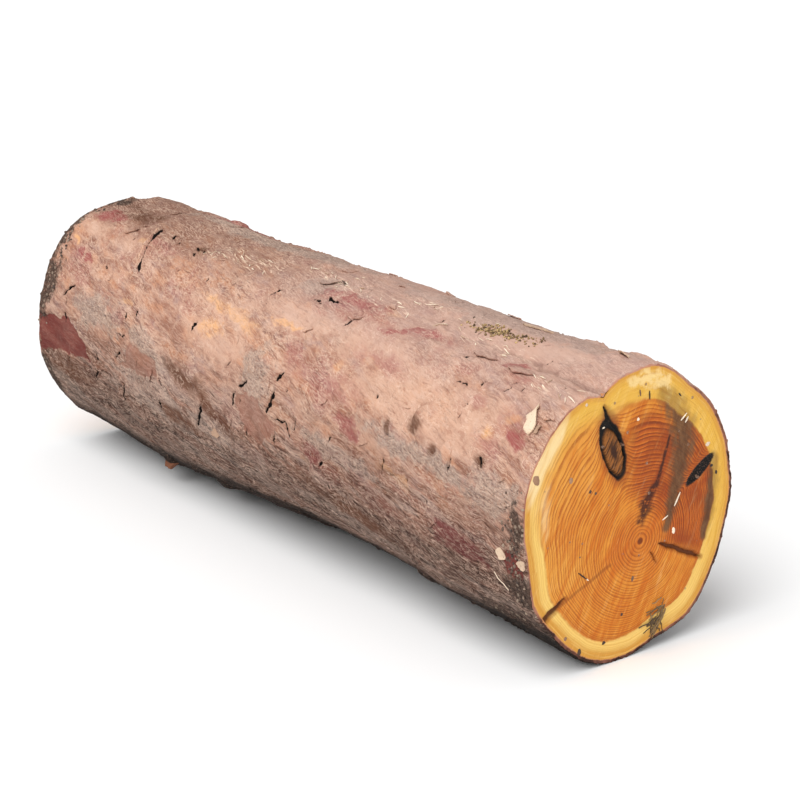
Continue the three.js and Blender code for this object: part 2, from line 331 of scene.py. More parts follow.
def patch_field(x, angle, patches, ragged):
    """1 in the middle of the nearest patch, 0 at its edge and less outside it."""
    field = np.full(ragged.shape, -1.0)
    for px, pa, *shape in patches:
        field = np.maximum(field, 1 - oval(x - px, arc(angle, pa), *shape))
    return np.clip(field + ragged, -1, 1)


def peeled_field(x, angle):
    """Millimetres inside the nearest peeled place, below 0 outside it."""
    field = np.full(x.shape, -9.0)
    for corners in PEELED:
        first = corners[0][1]
        around = arc(angle, first)
        places = [(px, arc(pa, first)) for px, pa in corners]
        nearest, inside = np.full(x.shape, 9.0), np.zeros(x.shape, bool)
        for (u0, v0), (u1, v1) in zip(places, places[1:] + places[:1]):
            nearest = np.minimum(nearest, segment(x, around, (u0, v0), (u1, v1))[1])
            crossed = (v0 > around) != (v1 > around)
            inside ^= crossed & (x < u0 + (around - v0) * (u1 - u0) / (v1 - v0 or 1))
        field = np.maximum(field, np.where(inside, nearest, -nearest))
    return field


def all_cracks():
    """The cracks that are placed, and as many small ones as CRACK_COUNT all round the trunk."""
    draw = draws(CRACK_SEED)
    for (x0, a0), (x1, a1), half_width in CRACKS:
        run, rise = x1 - x0, arc(a1, a0)
        size = CRACK_SCALE * math.hypot(run, rise), CRACK_SCALE * half_width
        lean = math.degrees(math.atan2(run, rise))
        yield (x0 + x1) / 2, (a0 + a1) / 2, *size, lean, draw.uniform(-1, 1)
    for _ in range(CRACK_COUNT):
        place = draw.uniform(-0.95, 0.95) * HALF, draw.uniform(0, 360)
        yield *place, draw.uniform(3, 9), draw.uniform(0.25, 0.7), draw.uniform(-40, 25), draw.uniform(-1, 1)


def crack_distance(x, angle, wobble):
    """Millimetres from the edge of the nearest crack, below 0 in it. Cracks run across the trunk."""
    nearest = np.full(wobble.shape, 5.0)
    for cx, ca, length, half_width, lean, bend in all_cracks():
        reach = length + CRACK_MARGIN
        rows = np.abs(x[:, 0] - cx) < reach
        columns = np.abs(turn_between(angle[0], ca)) < np.degrees(reach / MEAN_RADIUS)
        window = np.ix_(rows, columns)
        along, across = turned(arc(angle[:, columns], ca), x[rows] - cx, lean)
        share = 2 * along / length
        across = across + wobble[window] + bend * length / 7 * share * share
        uneven = half_width * (1 + 0.4 * np.sin(9 * share + 3 * bend))
        nearest[window] = np.minimum(nearest[window], slit_distance(share, across, length, uneven))
    return nearest


def line_distance(x, angle, line):
    """Signed distance across a line on the bark, and how far along it a point is."""
    (x0, x1), (a0, a1) = line["x"], line["angle"]
    return line_place(x - x0, arc(angle, a0), x1 - x0, arc(a1, a0))


# Sines of the angle where a look of the bark starts and is whole
UNDER = 0.6, -0.38  # the underside, darker in its own colour and in painted shade
CONTACT_SHADOW = -0.62, -0.78  # the painted contact shadow that blackens it below
TOP_SHADE = 0.82, 0.97  # painted shade that browns the top, where less light falls
SHEEN = 0.66, 0.95  # the painted sheen, paler, beside it


def grain_turn(x):
    """How far the spiral grain has turned at an X, in radians."""
    return x * math.tan(math.radians(GRAIN_TURN)) / MEAN_RADIUS


def grain_place(x, angle, radius):
    """Places in millimetres on the trunk as if its spiral grain were straight."""
    turn = np.radians(angle) - grain_turn(x)
    return np.stack(np.broadcast_arrays(x, radius * np.cos(turn), radius * np.sin(turn)), -1)


def bark_fields(x, angle, ragged_x, ragged_angle):
    """The fields of the bark's marks that its material and its relief read."""
    ragged = 0.35 * layered(x, angle, 26, 26, 9, 4)
    fields = {}
    for name, patches in PATCHES.items():
        fields[name] = patch_field(ragged_x, ragged_angle, patches, ragged)
    fields["pale"] = np.minimum(fields["pale"], PALE_LIMIT)
    fields["peeled"] = peeled_field(ragged_x, ragged_angle)
    fields["crack"] = crack_distance(x, angle, 1.3 * layered(x, angle, 7, 90, 13, 3))
    up = np.sin(np.radians(angle))
    uneven = up + 0.1 * ragged
    fields["under"] = step(up + 0.12 * ragged, *UNDER)
    fields["earth"] = step(uneven, *CONTACT_SHADOW)
    fields["crown"] = step(uneven, *TOP_SHADE) * np.clip(0.5 - 0.6 * x / HALF, 0.1, 1)
    fields["sheen"] = step(uneven, *SHEEN) * step(x, -120, 60)
    fields["lit"] = step(np.abs(turn_between(angle, 130)), 95, 60) + 0 * x
    return fields


def bark_surface(x, angle):
    """Radius of the bark in millimetres, and the fields that its material reads."""
    form, flakes = smooth_form()
    grain = angle - np.degrees(grain_turn(x))
    ragged_x = x + 4 * layered(x, angle, 18, 36, 3, 4)
    ragged_angle = angle + 2 * layered(x, angle, 18, 36, 5, 4)
    broad = layered(x, angle, 90, 8, 7)
    fields = bark_fields(x, angle, ragged_x, ragged_angle)
    torn = step(fields["pale"], -0.4, 0.3)
    peeled = step(fields["peeled"], -0.6, 0.6)

    radius = read_grid(form, x, angle)
    radius = radius + 0.9 * step(read_grid(flakes, ragged_x, ragged_angle), 0.35, 0.8)
    radius = radius + 0.8 * layered(x, angle, 34, 20, 21) + 0.3 * broad
    inside, height = plates(ragged_x, ragged_angle, 34, 26, 23)
    scaly = step(broad + torn, -0.35, 0.5)
    radius = radius + scaly * (0.9 * (height - 0.5) - 0.4 * step(inside, 0.07, 0.0))
    inside, height = plates(ragged_x, ragged_angle, 13, 60, 27)
    radius = radius + (0.25 + 0.6 * torn) * (1 - peeled) * (height - 0.5) * step(inside, 0.0, 0.15)
    fibres = layered(x, grain, 26, 150, 31) + 0.6 * noise(x, grain, 9, 240, 37)
    radius = radius + (0.16 + 0.22 * torn) * (1 - 0.8 * peeled) * fibres
    radius = radius + 0.12 * noise(x, angle, 2.6, 240, 41) - 0.7 * peeled
    crumbs = step(layered(x, angle, 5, 128, 43, 2), 0.5, 0.8) * step(layered(x, angle, 50, 14, 45), 0.0, 0.5)
    radius = radius + 1.1 * crumbs * (1 - peeled)
    radius = radius - 1.6 * step(np.abs(x), HALF - 1.5, HALF) * (0.4 + np.abs(noise(x, angle, 9, 90, 47)))
    lips = bell((fields["crack"] - 1.6) / 1.3)
    radius = radius + 0.45 * lips - 2.6 * step(fields["crack"], 0.5, -0.5)

    across, along = line_distance(x, angle, CREASE)
    across = across + 0.5 * noise(x, angle, 12, 60, 51) - 1.5 * (2 * along - 1) ** 2
    ends = step(along, -0.05, 0.12) * step(along, 1.05, 0.85)
    slot = across - 0.8 * CREASE["half_width"]
    open_ends = np.maximum(bell((along - 0.2) / 0.2), 0.9 * bell((along - 0.86) / 0.16)) * ends
    fold = bell(across / CREASE["half_width"]) - (0.2 + 0.9 * open_ends) * bell(slot / 1.2)
    radius = radius + CREASE["height"] * ends * fold
    # The crease is painted: a dark line along its slot as painted shadow, and a pale band along its ridge as
    # painted highlight.
    open_ends = np.maximum(open_ends, 0.5 * ends)
    fields["crack"] = np.minimum(fields["crack"], np.abs(slot) - 1.9 * open_ends + 0.9)
    fields["pale"] = np.maximum(fields["pale"], 2 * ends * bell((across + 0.8) / 2.6) - 1)
    across, along = line_distance(ragged_x, ragged_angle, FURROW)
    depth = FURROW["depth"] * step(along, -0.1, 0.9)
    radius = radius - depth * bell(across / FURROW["half_width"])
    fields["height"] = radius - read_grid(blurred(form, 2), x, angle)
    return radius, fields


# Meshes

SHARP = math.radians(75)  # an edge that turns further than this isn't smoothed


def trunk_points(x, angle, radius):
    """Places in metres. Nothing lies below the ground."""
    turn = np.radians(angle)
    height = np.maximum(middle_height(x) + radius * np.sin(turn), 0)
    return np.stack(np.broadcast_arrays(x, radius * np.cos(turn), height), -1) * MM


def new_object(name, data):
    made = bpy.data.objects.new(name, data)
    bpy.context.scene.collection.objects.link(made)
    return made


def new_piece(name, points, faces, material, slot, fields, maps=None):
    """A shown piece: its points in metres, its faces, its material and what the material reads."""
    mesh = bpy.data.meshes.new(name)
    mesh.from_pydata(points.tolist(), [], faces)
    if maps is not None:
        mesh.uv_layers.new(name="OFBake").uv.foreach_set("vector", maps.astype(np.float32).ravel())
    for field, values in fields.items():
        wide = values.ndim > 1
        made = mesh.attributes.new(field, "FLOAT_VECTOR" if wide else "FLOAT", "POINT")
        made.data.foreach_set("vector" if wide else "value", values.astype(np.float32).ravel())
    work = bmesh.new()
    work.from_mesh(mesh)
    bmesh.ops.recalc_face_normals(work, faces=work.faces)
    work.to_mesh(mesh)
    work.free()
    mesh.shade_smooth()
    mesh.set_sharp_from_angle(angle=SHARP)
    mesh.materials.append(material)
    piece = new_object(name, mesh)
    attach(piece, "root")
    return piece


def numbered(grid, start=0):
    """Point numbers for a grid of places."""
    return start + np.arange(grid.shape[0] * grid.shape[1]).reshape(grid.shape[:2])


def closed(grid):
    """A grid with its first column once more at its end."""
    return np.concatenate([grid, grid[:, :1]], axis=1)


def cell_corners(grid):
    return np.stack([grid[:-1, :-1], grid[1:, :-1], grid[1:, 1:], grid[:-1, 1:]], 2)


def grid_faces(index):
    """Four-sided faces between the neighbours of a grid of point numbers."""
    return cell_corners(index).reshape(-1, 4).tolist()


MAP_TOP = 0.94  # how high the outside of a strip reaches on its map
MAP_BANDS = [(0.95 + 0.01 * k, 0.956 + 0.01 * k) for k in range(5)]  # low and high of its inside and edges


def grid_map(shape, low, high):
    """The map corners of a grid's faces: its rows along the map, its columns from the low to the high."""
    u, v = np.linspace(0, 1, shape[0])[:, None], np.linspace(low, high, shape[1])[None, :]
    return cell_corners(np.stack(np.broadcast_arrays(u, v), -1)).reshape(-1, 2)


def wall_faces(fine, coarse, low, high):
    """Triangles between a fine edge and a coarse one beside it, and their map corners."""
    faces, corners = [], []
    last = len(fine) - 1
    for k in range(len(coarse) - 1):
        start, end = k * COARSE, (k + 1) * COARSE
        for t in range(start, end):
            nearest = k if t < start + COARSE // 2 else k + 1
            faces.append((fine[t], fine[t + 1], coarse[nearest]))
            corners += [(t / last, low), ((t + 1) / last, low), (nearest * COARSE / last, high)]
        middle = start + COARSE // 2
        faces.append((fine[middle], coarse[k + 1], coarse[k]))
        corners += [(middle / last, low), (end / last, high), (start / last, high)]
    return faces, np.array(corners)


# Materials. A colour is given as a screen shows it, red, green and blue from 0 to 255.

def srgb(red, green, blue):
    """A colour in the linear numbers that shaders use."""
    part = np.array([red, green, blue]) / 255
    linear = np.where(part <= 0.04045, part / 12.92, ((part + 0.055) / 1.055) ** 2.4)
    return (*linear.tolist(), 1.0)


class Value:
    """A number or vector that a material works out at each place. Sums of numbers are nodes as well."""

    def __init__(self, shader, socket):
        self.shader, self.socket = shader, socket

    def __add__(self, other):
        return self.shader.sum("ADD", self, other)

    def __mul__(self, other):
        return self.shader.sum("MULTIPLY", self, other)

    def __sub__(self, other):
        return self.shader.sum("SUBTRACT", self, other)

    def __rsub__(self, other):
        return self.shader.sum("SUBTRACT", other, self)

    def __abs__(self):
        return self.shader.sum("ABSOLUTE", self)

    __radd__, __rmul__ = __add__, __mul__

    def most(self, other):
        return self.shader.sum("MAXIMUM", self, other)

    def step(self, low, high):
        """0 at low, 1 at high, and smooth between."""
        inputs = {"Value": self, "From Min": low, "From Max": high}
        return self.shader.add("MapRange", "Result", inputs, interpolation_type="SMOOTHSTEP")

    def line(self, middle, width):
        """1 where the value is near the middle."""
        return abs(self - middle).step(width, 0.3 * width)


class Paint:
    """A colour that a material works out at each place, with more coats laid on it by shares."""

    def __init__(self, shader, socket):
        self.shader, self.socket = shader, socket

    def lay(self, share, colour):
        self.socket = self.shader.mix(share, self, colour).socket


class Shader:
    """Makes the nodes of one material."""

    def __init__(self, name, roughness=0.85, specular=0.5):
        self.material = bpy.data.materials.new(name)
        self.material.use_nodes = True
        self.tree = self.material.node_tree
        self.surface = self.tree.nodes["Principled BSDF"]
        self.put(roughness, self.surface.inputs["Roughness"])
        self.put(specular, self.surface.inputs["Specular IOR Level"])

    def put(self, value, socket):
        value = getattr(value, "socket", value)
        if isinstance(value, bpy.types.NodeSocket):
            self.tree.links.new(value, socket)
        else:
            socket.default_value = value

    def add(self, kind, output, inputs, **settings):
        """The output of a new node."""
        node = self.tree.nodes.new("ShaderNode" + kind)
        for name, value in settings.items():
            setattr(node, name, value)
        for name, value in inputs.items():
            self.put(value, node.inputs[name])
        return Value(self, node.outputs[output])

    def field(self, name):
        return self.add("Attribute", "Fac", {}, attribute_name=name)

    def place(self, name):
        return self.add("Attribute", "Vector", {}, attribute_name=name)

    def sum(self, operation, a, b=0.0):
        return self.add("Math", 0, {0: a, 1: b}, operation=operation)

    def stretched(self, place, x, y=1.0, z=1.0):
        return self.add("VectorMath", 0, {0: place, 1: (x, y, z)}, operation="MULTIPLY")

    def noise(self, place, size, detail=3.0, roughness=0.55, distortion=0.0):
        inputs = {"Vector": place, "Scale": 1 / size, "Detail": detail, "Roughness": roughness}
        return self.add("TexNoise", "Fac", {**inputs, "Distortion": distortion})

    def cells(self, place, size):
        return self.add("TexVoronoi", "Distance", {"Vector": place, "Scale": 1 / size})

    def warped(self, place, size, reach):
        """A place pushed about by up to half the reach."""
        push = self.add("TexNoise", "Color", {"Vector": place, "Scale": 1 / size, "Detail": 2.0})
        push = self.add("VectorMath", 0, {0: push, 1: (0.5, 0.5, 0.5)}, operation="SUBTRACT")
        push = self.stretched(push, reach, reach, reach)
        return self.add("VectorMath", 0, {0: place, 1: push}, operation="ADD")

    def mix(self, share, *colours):
        low, high = (srgb(*colour) if isinstance(colour, tuple) else colour for colour in colours)
        return Paint(self, self.add("Mix", 2, {0: share, 6: low, 7: high}, data_type="RGBA").socket)

    def bump(self, height, distance):
        return self.add("Bump", "Normal", {"Height": height, "Distance": distance * MM})

    def finish(self, colour, normal=None):
        self.put(colour, self.surface.inputs["Base Color"])
        if normal is not None:
            self.put(normal, self.surface.inputs["Normal"])
        return self.material


def bark_material():
    s = Shader("bark", specular=0.1)
    # under is the underside, darker in its own colour and in painted shade; lit is the rest
    at, under = s.place("grain"), s.field("under")
    lit = 1 - under
    fibre = s.stretched(s.warped(at, 40, 18), 0.11)
    thread = s.noise(fibre, 2.0, 2, 0.6)
    fine = s.noise(s.stretched(s.warped(at, 30, 10), 0.13), 1.2, 2, 0.65)
    wisp = s.noise(s.stretched(s.warped(at, 24, 30), 0.3), 7, 4, 0.6)
    streak = s.noise(fibre, 6, 3, 0.62)
    blotch = s.noise(at, 30, 3, 0.65, 0.5)
    grit = s.noise(at, 1.5, 3, 0.75)
    tint = s.noise(s.stretched(at, 0.4), 13, 4, 0.65)
    scurf = s.noise(s.stretched(s.warped(at, 20, 12), 0.45), 8, 4, 0.72)
    band = s.noise(s.stretched(s.warped(at, 60, 24), 0.12), 15, 3, 0.55)
    fleck = s.noise(s.stretched(at, 0.45), 2.6, 4, 0.75)
    splinter = s.noise(s.stretched(s.warped(at, 30, 8), 0.1), 1.7, 2, 0.5)
    edge = s.noise(at, 7, 4, 0.7) - 0.5

    def patch(name, low, high, ragged=1.0):
        return (s.field(name) + edge * ragged).step(low, high)

    # The lit side
    colour = s.mix(streak.step(0.34, 0.62), (146, 103, 86), (186, 145, 124))
    colour.lay(tint.step(0.5, 0.66) * 0.7, (192, 137, 105))
    colour.lay(tint.step(0.47, 0.33) * 0.7, (154, 124, 118))
    colour.lay(blotch.step(0.52, 0.68) * 0.5, (156, 100, 90))
    tan = patch("tan", -0.3, 0.7)
    colour.lay(tan * 0.7, (204, 164, 141))
    orange = patch("orange", -0.1, 0.6, 1.2) * streak.step(0.2, 0.6)
    colour.lay(orange * 0.8, (222, 168, 118))
    colour.lay(scurf.step(0.53, 0.64) * lit * 0.4, (208, 174, 155))
    colour.lay(scurf.step(0.47, 0.36) * lit * 0.45, (150, 100, 80))
    # painted shade: the top browner, more so towards the plain end
    colour.lay(s.field("crown") * 0.75, (122, 88, 74))

    # The underside: its own darker bark, and painted shade where less light reaches
    lower = s.mix(streak.step(0.38, 0.6), (66, 44, 38), (138, 95, 79))
    lower.lay(band.step(0.51, 0.6) * 0.75, (152, 132, 121))
    lower.lay(band.step(0.47, 0.38) * 0.8, (96, 62, 50))
    lower.lay(under.step(0.8, 1.0) * 0.6, (66, 53, 47))
    colour.lay(under, lower)

    # Patches; rose and crimson are darker on the underside, partly as painted shade
    grey = patch("grey", -0.2, 0.35, 1.6) * grit.step(0.3, 0.55)
    colour.lay(grey * (0.75 - under * 0.2), (168, 149, 137))
    rose = patch("rose", -0.3, 0.8, 1.6) * streak.step(0.2, 0.6)
    colour.lay(rose * 0.6, s.mix(under, (150, 88, 84), (88, 56, 50)))
    crimson = patch("crimson", -0.1, 0.5, 1.4) * streak.step(0.15, 0.55)
    colour.lay(crimson * 0.85, s.mix(under, (146, 75, 73), (88, 42, 42)))
    shade = patch("shade", -0.2, 0.7) * streak.step(0.2, 0.5)
    colour.lay(shade * 0.92, (92, 58, 42))

    # The bare inner bark, red towards the ends of the trunk
    peeled = patch("peeled", -0.6, 0.8, 4.5)
    red_bare = abs(s.add("SeparateXYZ", 0, {0: at})).step(205, 215)
    bare = s.mix(streak.step(0.35, 0.65) * 0.4, (138, 93, 76), (164, 116, 97))
    bare.lay(red_bare, s.mix(streak.step(0.35, 0.7), (112, 52, 47), (134, 68, 60)))
    # the bare bark darker on the underside, partly as painted shade
    bare.lay(under * 0.4, s.mix(red_bare, (98, 62, 50), (66, 34, 34)))
    bare.lay(blotch.step(0.44, 0.62) * (0.45 - red_bare * 0.3), (152, 106, 92))
    colour.lay(peeled * (0.7 + red_bare * 0.26), bare)

    # Fibres and crumbs
    unpeeled = 1 - peeled * (0.6 + red_bare * 0.25)
    shaded = 1 - (shade * 0.75).most(crimson * 0.5)
    rough = unpeeled * shaded * (1 - tan.most(orange) * 0.55)
    coarse = s.noise(at, 45, 2, 0.5).step(0.42, 0.62).most(under.most(grey))
    rough = rough * (0.36 + coarse * (0.4 + under * 0.24))
    # fibre colours in a lit copy and a darker underside copy, partly painted shade
    light = s.mix(under, (222, 190, 168), (204, 173, 154))
    dark = s.mix(under, (92, 62, 53), (40, 28, 24))
    colour.lay(thread.step(0.42, 0.3) * rough * 0.65, dark)
    colour.lay(fine.step(0.44, 0.3) * rough * 0.7, dark)
    colour.lay(thread.line(0.5, 0.05) * rough * (0.6 - under * 0.25), light)
    colour.lay(fine.step(0.57, 0.7) * rough * 0.65, light)
    colour.lay(wisp.line(0.5, 0.022) * blotch.step(0.4, 0.6) * unpeeled * 0.5, light)
    colour.lay(grit.step(0.42, 0.28) * rough * 0.7, (56, 42, 37))
    crumbly = under.most(grey).most(0.32)
    colour.lay(fleck.step(0.43, 0.33) * crumbly * unpeeled * 0.68, (40, 29, 25))
    colour.lay(fleck.step(0.58, 0.68) * crumbly * unpeeled * 0.5, (186, 162, 144))
    torn = patch("pale", -0.2, 0.4) * splinter.step(0.57, 0.63) * fine.step(0.38, 0.5)
    colour.lay(torn * 0.85, (228, 200, 174))
    colour.lay(s.field("pale").step(0.62, 0.95) * 0.7, (206, 164, 136))
    # painted sheen: a paler veil over the top, weaker on the darker patches
    sheen_share = 0.45 - shade.most(crimson.most(rose)) * 0.35
    colour.lay(s.field("sheen") * sheen_share, (196, 164, 152))
    # painted shade in the hollows of the bark, where it lies below its smoothed form
    colour.lay(s.field("height").step(-0.6, -2.0) * 0.3, (80, 58, 51))

    # Damp places, painted contact shadow, cracks and the sawn edge of the bark
    damp = patch("dark", -0.3, 0.3, 2.0) * s.noise(at, 4, 3, 0.65).step(0.8, 0.52)
    colour.lay(damp * 0.9, s.mix(grit.step(0.4, 0.6), (36, 28, 25), (80, 64, 55)))
    spots = patch("dark", 0.0, 0.3, 1.5) * s.cells(at, 5.0).step(0.3, 0.2)
    colour.lay(spots * 0.6, (160, 142, 124))
    # painted shadow along the bottom where the log meets the floor, broken up by grit
    colour.lay(s.field("earth") * grit.step(0.75, 0.5) * 0.92, (17, 13, 11))
    # the cracks, also cut into the relief, painted near black as painted shade inside them
    colour.lay(patch("crack", 0.45, 0.0, 0.8), (20, 15, 13))
    cut_bark = s.mix(blotch.step(0.4, 0.6), (62, 42, 38), (140, 92, 76))
    # the sawn edge of the bark painted lighter where it faces the light: painted light and shade
    cut_bark.lay(s.field("lit"), s.mix(blotch.step(0.4, 0.6), (150, 98, 82), (190, 138, 116)))
    cut_bark.lay(patch("depth", 0.62, 0.9), (196, 136, 92))
    colour.lay(s.field("depth").step(0.02, 0.12), cut_bark)
    height = thread * 0.9 + (fine * 0.7 + grit * 0.8)
    return s.finish(colour, s.bump(height * rough, 0.7))


def bark_grid():
    """The rows and columns of the bark, its radius there and the fields that its material reads."""
    rows = np.linspace(-HALF, HALF, ROWS + 1)[:, None]
    columns = (FIRST_ANGLE + np.arange(COLUMNS) * 360 / COLUMNS)[None, :]
    radius, fields = bark_surface(rows, columns)
    fields["grain"] = grain_place(rows, columns, radius)
    return rows, columns, radius, fields


def wood_radii(rows, radius, lit):
    """Radius of the wood inside the bark, which is thinner along the lit part of its sawn edges."""
    thin = EDGE_THINNING * lit * step(np.abs(rows), HALF - EDGE_REACH, HALF)
    return np.minimum(blurred(radius, 3) - BARK_THICKNESS * (1 - thin), radius - LEAST_BARK)


def bark_pieces(rows, columns, radius, wood, fields, material):
    few_rows = slice(None, None, COARSE)
    sides = np.s_[0], np.s_[-1], np.s_[:, 0], np.s_[:, -1]
    for k in range(STRIPS):
        own = np.arange(k * STRIP_COLUMNS, (k + 1) * STRIP_COLUMNS + 1) % COLUMNS
        few = own[::COARSE]
        outer = trunk_points(rows, columns[:, own], radius[:, own])
        inner = trunk_points(rows[few_rows], columns[:, few], wood[few_rows][:, few])
        index = numbered(outer)
        back = numbered(inner, index.size)
        faces = grid_faces(index) + grid_faces(back)
        maps = [grid_map(index.shape, 0.0, MAP_TOP), grid_map(back.shape, *MAP_BANDS[0])]
        for side, band in zip(sides, MAP_BANDS[1:]):
            wall, wall_map = wall_faces(index[side], back[side], *band)
            faces += wall
            maps.append(wall_map)
        points = np.concatenate([outer.reshape(-1, 3), inner.reshape(-1, 3)])
        read = {"depth": np.concatenate([np.zeros(index.size), np.ones(back.size)])}
        for name, values in fields.items():
            tail = values.shape[2:]
            parts = values[:, own].reshape(-1, *tail), values[few_rows][:, few].reshape(-1, *tail)
            read[name] = np.concatenate(parts)
        piece = new_piece(f"bark_{k + 1}", points, faces, material, "bark", read, np.concatenate(maps))
        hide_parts("log")


# The sawn faces. A knot is its Y and Z, half length, half width and turn from +Y, and a check its two ends
# and half width.

FACE_RINGS = {"cleft": 90, "plain": 45}
SIDE_ROWS = 28
PITH = {"cleft": (10.4, 86.4), "plain": (-12.0, 96.0)}
KNOTS = {
    "knot": (-18, 160.5, 24, 10, 110.7),
    "small_knot": (66.5, 127.4, 15, 4.5, 35.4),
    "plug": (-16.2, 157.5, 18.0, 7.4, 110.7),
}
KNOT_DEPTH, PLUG_DEPTH = 3.0, 0.8
RING_WIDTH = 2.2  # far from the pith. The first rings are wider
SAW_TURN = -62  # turn that brings the strokes of the saw level
SAP_WIDTH = 15.5
# Turn about the pith, half spread and how much wider the sapwood is there
SAP_SWELLS = [(84, 34, 7.5), (-140, 35, -3.5), (140, 24, -3.0)]
CHECKS = {
    "cleft": [((-58, 61), (-90, 41), 2.4), ((29, 80.5), (72, 59.4), 1.9), ((20.5, 75.7), (27, 66.5), 0.4)],
    "plain": [((4, 104), (52, 150), 0.9), ((-30, 92), (-76, 78), 0.8), ((-16, 80), (-30, 34), 0.6)],
}
# A stroke is a list of places, each with its half width.
SEAM = [(-27.5, 193, 0.9), (-25.4, 189, 1.9), (-22, 180, 3.2)]
RAY = [(-74, 52, 2.2), (-18, 75, 2.2)]
SMEARS = [
    [
        (27, 193, 8), (41, 180, 12), (47.5, 163, 16), (48.5, 147, 14.5), (46, 131, 11), (41.5, 113, 8),
        (36, 91, 5),
    ],
    [(80, 134, 6), (80, 117, 7.5), (77, 95, 7.5), (73, 76, 5)],
]
SLASH = [(11, 102, 6), (15, 112, 9), (19.6, 121, 7), (24.6, 126.5, 4), (28, 135, 2.6), (35.5, 159, 1.8)]
TORN_TOP = [(-2, 205, 6), (4, 206, 8), (12, 206, 9), (22, 203, 9), (32, 200, 6)]
NO_MARKS = {  # fields where a face has no such mark
    "knot": 3.0, "small_knot": 3.0, "plug": 3.0, "seam": -9.0, "smear": -1.0, "slash": -1.0, "torn": -1.0,
    "ray": -1.0, "soft": 0.0, "red": 0.0, "cream": 0.0, "gold": 0.0, "ochre": 0.0,
}


def flat_noise(y, z, size, seed, count=3):
    """Layered noise on a sawn face."""
    around = 64
    return layered(y, z / size / around * 360, size, around, seed, count)


def stroke(y, z, line):
    """1 along a stroke, 0 at its edge and less outside it."""
    most = np.full(y.shape, -9.0)
    for (*start, half0), (*end, half1) in zip(line, line[1:]):
        share, distance = segment(y, z, start, end)
        most = np.maximum(most, 1 - distance / (half0 + share * (half1 - half0)))
    return most


def check_distance(y, z, checks, wobble):
    """Millimetres from the edge of the nearest drying check, below 0 in it."""
    nearest = np.full(y.shape, 9.0)
    for (y0, z0), (y1, z1), half_width in checks:
        across, along = line_place(y - y0, z - z0, y1 - y0, z1 - z0)
        length = math.hypot(y1 - y0, z1 - z0)
        nearest = np.minimum(nearest, slit_distance(2 * along - 1, across + wobble, length, half_width))
    return nearest


def cleft_marks(y, z, turn, outer, from_pith, wobble, fields):
    """Puts the marks of the cleft face into its fields. Returns how far they sink in, in millimetres."""
    for name, (cy, cz, *shape) in KNOTS.items():
        fields[name] = oval(y + 0.7 * wobble - cy, z + 0.7 * wobble - cz, *shape)
    fields["seam"] = stroke(y + 0.7 * wobble, z, SEAM)
    fields["ray"] = stroke(y + wobble, z, RAY)
    for line in SMEARS:
        fields["smear"] = np.maximum(fields["smear"], stroke(y, z, line) + 0.2 * wobble)
    fields["slash"] = stroke(y, z, SLASH) + 0.3 * wobble
    fields["torn"] = stroke(y, z, TORN_TOP) + 0.4 * wobble
    red = step(turn, -36, -4) * step(turn, 128, 74) * step(from_pith, 6, 44)
    fields["red"] = red * (1 - 0.75 * step(outer, 44, 26) * step(turn, 50, 70))
    left = turn_between(turn, 155)
    fields["gold"] = step(left, 65, 35) * step(left, -58, -35) * step(outer, 62, 30)
    fields["ochre"] = step(turn, -50, 10) * step(turn, 150, 128) * step(outer, 1, 5)
    fields["soft"] = step(turn, 88, 108) * step(turn, 174, 158)
    edge_streak = step(turn, 116, 134) * step(turn, 162, 146) * step(outer, 17, 4)
    second_streak = step(turn, 140, 154) * step(turn, 174, 160) * step(outer, 12, 18) * step(outer, 28, 19)
    fields["cream"] = np.maximum(edge_streak, 0.6 * second_streak)

    knot = KNOT_DEPTH * step(fields["knot"], 1.02, 0.9)
    plug = (KNOT_DEPTH - PLUG_DEPTH) * step(fields["plug"], 1.08, 0.9)
    small_knot = 0.6 * KNOT_DEPTH * step(fields["small_knot"], 1.05, 0.6) * (1 + 0.5 * wobble)
    seam = KNOT_DEPTH * step(fields["seam"], 0.0, 0.6) * step(fields["knot"], 0.9, 1.02)
    torn = 0.7 * step(fields["torn"], 0, 0.6) * np.abs(flat_noise(y, z, 2.4, 231, 2))
    return knot - plug + small_knot + seam + torn


def face_fields(end, y, z, share, reach):
    """How far the sawn face sinks in, in millimetres, and the fields that its material reads."""
    wobble = flat_noise(y, z, 7, 201, 2)
    round_share = 1 - step(share, 0.35, 1.0)
    turn = np.degrees(np.arctan2(z - PITH[end][1], y - PITH[end][0]))
    ring = share * (round_share * reach + (1 - round_share) * MEAN_RADIUS) + 0.8 * flat_noise(y, z, 34, 211)
    outer = (1 - share) * reach
    fields = {name: np.full(y.shape, value) for name, value in NO_MARKS.items()}
    fields["check"] = check_distance(y, z, CHECKS[end], 0.8 * wobble)
    swells = sum(wider * bell(turn_between(turn, at) / spread) for at, spread, wider in SAP_SWELLS)
    fields["heart"] = outer - SAP_WIDTH - swells
    sink = 0.12 * flat_noise(y, z, 3, 221, 2) + 2.5 * step(fields["check"], 0.6, -0.9)
    if end == "cleft":
        sink = sink + cleft_marks(y, z, turn, outer, share * reach, wobble, fields)
        for name in ("knot", "small_knot"):
            ring = ring - 7 * bell(np.maximum(fields[name] - 0.6, 0) / 0.8)
    fields["polar"] = np.stack([outer, np.radians(turn) * MEAN_RADIUS, 0 * y], -1)
    fields["ring"], fields["outer"] = ring, outer
    fields["years"] = ring / RING_WIDTH - 2 * (1 - np.exp(-ring / 12))
    return sink, fields


def face_grid(end, x, outline):
    """Points of a sawn face from its pith to its outline, in metres, and the fields there."""
    pith_y, pith_z = PITH[end]
    share = np.linspace(0, 1, FACE_RINGS[end] + 1)[1:, None]
    oy, oz = outline[None, :, 1] / MM, outline[None, :, 2] / MM
    y, z = pith_y + share * (oy - pith_y), pith_z + share * (oz - pith_z)
    reach = np.hypot(oy - pith_y, oz - pith_z) + 0 * share
    sink, fields = face_fields(end, y, z, share + 0 * y, reach)
    sink = sink * step(fields["outer"], 0.0, 1.5)
    fields["face"] = np.stack([y, z, 0 * y], -1)
    return np.stack([x - np.sign(x) * sink, y, z], -1) * MM, fields


